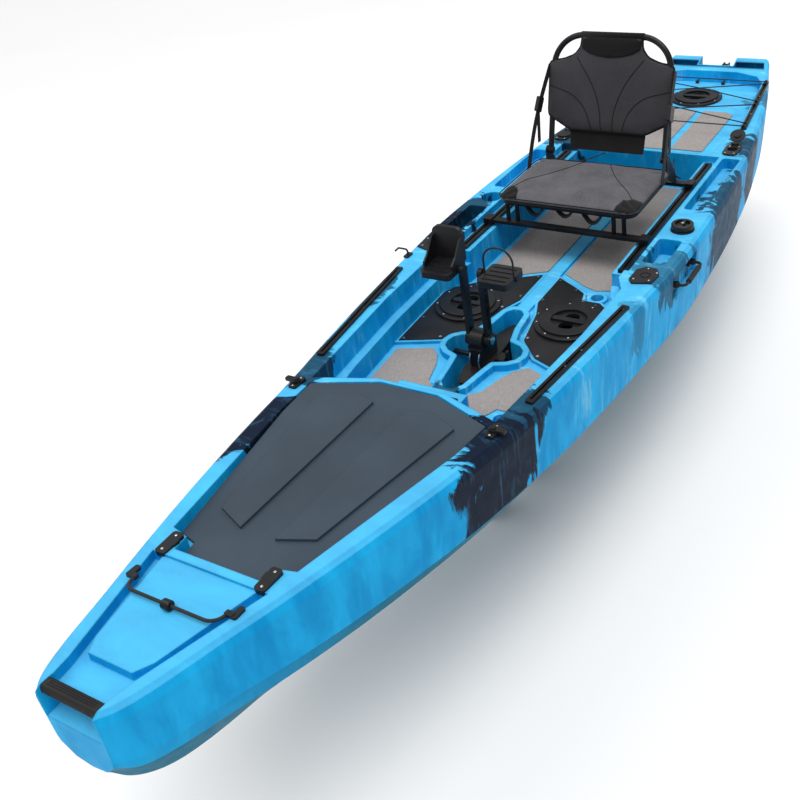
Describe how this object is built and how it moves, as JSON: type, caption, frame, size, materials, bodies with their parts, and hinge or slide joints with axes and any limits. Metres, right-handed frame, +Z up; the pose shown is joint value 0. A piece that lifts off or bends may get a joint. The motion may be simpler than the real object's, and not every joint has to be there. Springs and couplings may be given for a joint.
{
  "type": "pedal boat",
  "caption": "Sit-on-top pedal kayak: hollow hull with hinged bow hatch, swing-pedal fin drive, sliding folding seat, round hatches, tracks and kick-up rudder.",
  "frame": {"origin": "centre of the flat under the keel, on the centre line", "axes": "X to port, Y aft, Z up; the bow points to -Y"},
  "size_m": [1.014, 4.268, 1.3072],
  "materials": {
    "hull_plastic": "rotomoulded polyethylene, sky blue with navy and white marbling",
    "lid_plastic": "textured slate thermoformed sheet",
    "black_plastic": "moulded black nylon",
    "black_rubber": "soft black rubber",
    "black_aluminium": "black anodised aluminium",
    "cord": "braided black shock cord",
    "foam_pad": "grey closed cell foam with brushed grain",
    "steel": "stainless steel",
    "drive_plastic": "glass filled nylon",
    "fin_rubber": "flexible fin rubber",
    "seat_fabric": "dark grey woven polyester over foam",
    "strap": "black webbing",
    "rudder_plastic": "black nylon blade"
  },
  "bodies": {
    "hull_body": {"hull": "hull_plastic", "bow_handle": "black_rubber", "bow_hinges": "black_plastic", "bow_latch_bases": "black_plastic", "bow_cord": "cord", "bow_cord_bead": "black_plastic", "bow_pad_eyes": "black_plastic", "gunwale_tracks": "black_aluminium", "console_track": "black_aluminium", "mount_plates": "black_plastic", "steering_base": "black_plastic", "rod_holders": "black_plastic", "side_handle_anchors": "black_plastic", "paddle_hook": "black_plastic", "front_pads": "foam_pad", "aft_pads": "foam_pad", "deck_plates": "black_plastic", "plate_screws": "steel", "rear_pads": "foam_pad", "deck_hatch_rings": "black_plastic", "rear_hatch_ring": "black_plastic", "drive_housing": "drive_plastic", "crank_axle": "steel", "drive_locks": "black_plastic", "seat_rails": "black_aluminium", "rear_rails": "black_aluminium", "rear_bungee": "cord", "rudder_bracket": "black_plastic", "rudder_pin": "steel", "steering_lines": "cord", "tie_down_eyes": "black_plastic"},
    "bow_lid": {"bow_hatch_lid": "lid_plastic"},
    "latch_port": {"bow_latch_port": "black_plastic"},
    "latch_starboard": {"bow_latch_starboard": "black_plastic"},
    "deck_lid_port": {"deck_hatch_lid_port": "black_plastic"},
    "deck_lid_starboard": {"deck_hatch_lid_starboard": "black_plastic"},
    "rear_lid": {"rear_hatch_lid": "black_plastic"},
    "knob": {"steering_knob": "black_plastic"},
    "cap_port": {"rod_holder_cap_port": "black_rubber"},
    "cap_starboard": {"rod_holder_cap_starboard": "black_rubber"},
    "handle_port": {"side_handle_port": "black_rubber"},
    "handle_starboard": {"side_handle_starboard": "black_rubber"},
    "crank_starboard": {"crank_starboard": "black_aluminium"},
    "crank_port": {"crank_port": "black_aluminium"},
    "pedal_starboard": {"pedal_starboard": "black_plastic"},
    "pedal_port": {"pedal_port": "black_plastic", "pedal_strap_port": "black_rubber"},
    "fin_front": {"fin_mast_front": "steel", "fin_blade_front": "fin_rubber"},
    "fin_rear": {"fin_mast_rear": "steel", "fin_blade_rear": "fin_rubber"},
    "seat": {"seat_bars": "black_aluminium", "seat_frame": "black_aluminium", "seat_cushion": "seat_fabric", "seat_brackets": "black_plastic", "back_straps": "strap"},
    "backrest": {"back_frame": "black_aluminium", "back_panel": "seat_fabric"},
    "rudder_head": {"rudder_head": "black_plastic"},
    "rudder_blade": {"rudder_blade": "rudder_plastic"}
  },
  "joints": [
    {"name": "bow_lid_swing", "type": "hinge", "parent": "hull_body", "child": "bow_lid", "pos_m": [0, -1.659, 0.338], "axis": [1, 0, 0], "range_deg": [0, 105]},
    {"name": "latch_port_turn", "type": "hinge", "parent": "hull_body", "child": "latch_port", "pos_m": [0.321, -0.972, 0.322], "axis": [0, 0, 1], "range_deg": [0, 180]},
    {"name": "latch_starboard_turn", "type": "hinge", "parent": "hull_body", "child": "latch_starboard", "pos_m": [-0.321, -0.972, 0.322], "axis": [0, 0, 1], "range_deg": [-180, 0]},
    {"name": "deck_lid_port_turn", "type": "hinge", "parent": "hull_body", "child": "deck_lid_port", "pos_m": [0.189, -0.218, 0.188], "axis": [0, 0, 1], "range_deg": [0, 90]},
    {"name": "deck_lid_starboard_turn", "type": "hinge", "parent": "hull_body", "child": "deck_lid_starboard", "pos_m": [-0.189, -0.218, 0.188], "axis": [0, 0, 1], "range_deg": [0, 90]},
    {"name": "rear_lid_turn", "type": "hinge", "parent": "hull_body", "child": "rear_lid", "pos_m": [0, 1.648, 0.278], "axis": [0, 0, 1], "range_deg": [0, 90]},
    {"name": "rudder_yaw", "type": "hinge", "parent": "hull_body", "child": "rudder_head", "pos_m": [0, 1.995, 0.262], "axis": [0, 0, 1], "range_deg": [-35, 35]},
    {"name": "rudder_kick_up", "type": "hinge", "parent": "rudder_head", "child": "rudder_blade", "pos_m": [0, 2.092, 0.258], "axis": [1, 0, 0], "range_deg": [0, 115]},
    {"name": "steering_knob_turn", "type": "hinge", "parent": "hull_body", "child": "knob", "pos_m": [0.401, 0.273, 0.32], "axis": [0, 0, 1], "range_deg": [-61, 61]},
    {"name": "cap_port_swing", "type": "hinge", "parent": "hull_body", "child": "cap_port", "pos_m": [0.362, 1.023, 0.323], "axis": [1, 0, 0], "range_deg": [0, 150]},
    {"name": "cap_starboard_swing", "type": "hinge", "parent": "hull_body", "child": "cap_starboard", "pos_m": [-0.362, 1.023, 0.323], "axis": [1, 0, 0], "range_deg": [-150, 0]},
    {"name": "handle_port_swing", "type": "hinge", "parent": "hull_body", "child": "handle_port", "pos_m": [0.468, 0.102, 0.242], "axis": [0, 1, 0], "range_deg": [-40, 75]},
    {"name": "handle_starboard_swing", "type": "hinge", "parent": "hull_body", "child": "handle_starboard", "pos_m": [-0.468, 0.102, 0.242], "axis": [0, 1, 0], "range_deg": [-75, 40]},
    {"name": "crank_starboard_swing", "type": "hinge", "parent": "hull_body", "child": "crank_starboard", "pos_m": [0, -0.47, 0.232], "axis": [1, 0, 0], "range_deg": [-30, 30]},
    {"name": "crank_port_swing", "type": "hinge", "parent": "hull_body", "child": "crank_port", "pos_m": [0, -0.47, 0.232], "axis": [1, 0, 0], "range_deg": [-30, 30]},
    {"name": "pedal_starboard_tilt", "type": "hinge", "parent": "crank_starboard", "child": "pedal_starboard", "pos_m": [-0.098, -0.47, 0.47], "axis": [1, 0, 0], "range_deg": [-30, 30]},
    {"name": "pedal_port_tilt", "type": "hinge", "parent": "crank_port", "child": "pedal_port", "pos_m": [0.098, -0.47, 0.47], "axis": [1, 0, 0], "range_deg": [-30, 30]},
    {"name": "fin_front_swing", "type": "hinge", "parent": "hull_body", "child": "fin_front", "pos_m": [0, -0.538, -0.044], "axis": [0, 1, 0], "range_deg": [-80, 80]},
    {"name": "fin_rear_swing", "type": "hinge", "parent": "hull_body", "child": "fin_rear", "pos_m": [0, -0.31, -0.044], "axis": [0, 1, 0], "range_deg": [-80, 80]},
    {"name": "seat_slide", "type": "slide", "parent": "hull_body", "child": "seat", "axis": [0, 1, 0], "range_m": [-0.16, 0.16]},
    {"name": "backrest_fold", "type": "hinge", "parent": "seat", "child": "backrest", "pos_m": [0, 0.576, 0.423], "axis": [1, 0, 0], "range_deg": [0, 85]}
  ],
  "couplings": [
    {"joint": "crank_port_swing", "follows": "crank_starboard_swing", "ratio": -1},
    {"joint": "fin_front_swing", "follows": "crank_starboard_swing", "ratio": 2.66},
    {"joint": "fin_rear_swing", "follows": "crank_starboard_swing", "ratio": -2.66},
    {"joint": "steering_knob_turn", "follows": "rudder_yaw", "ratio": 1.74}
  ]
}
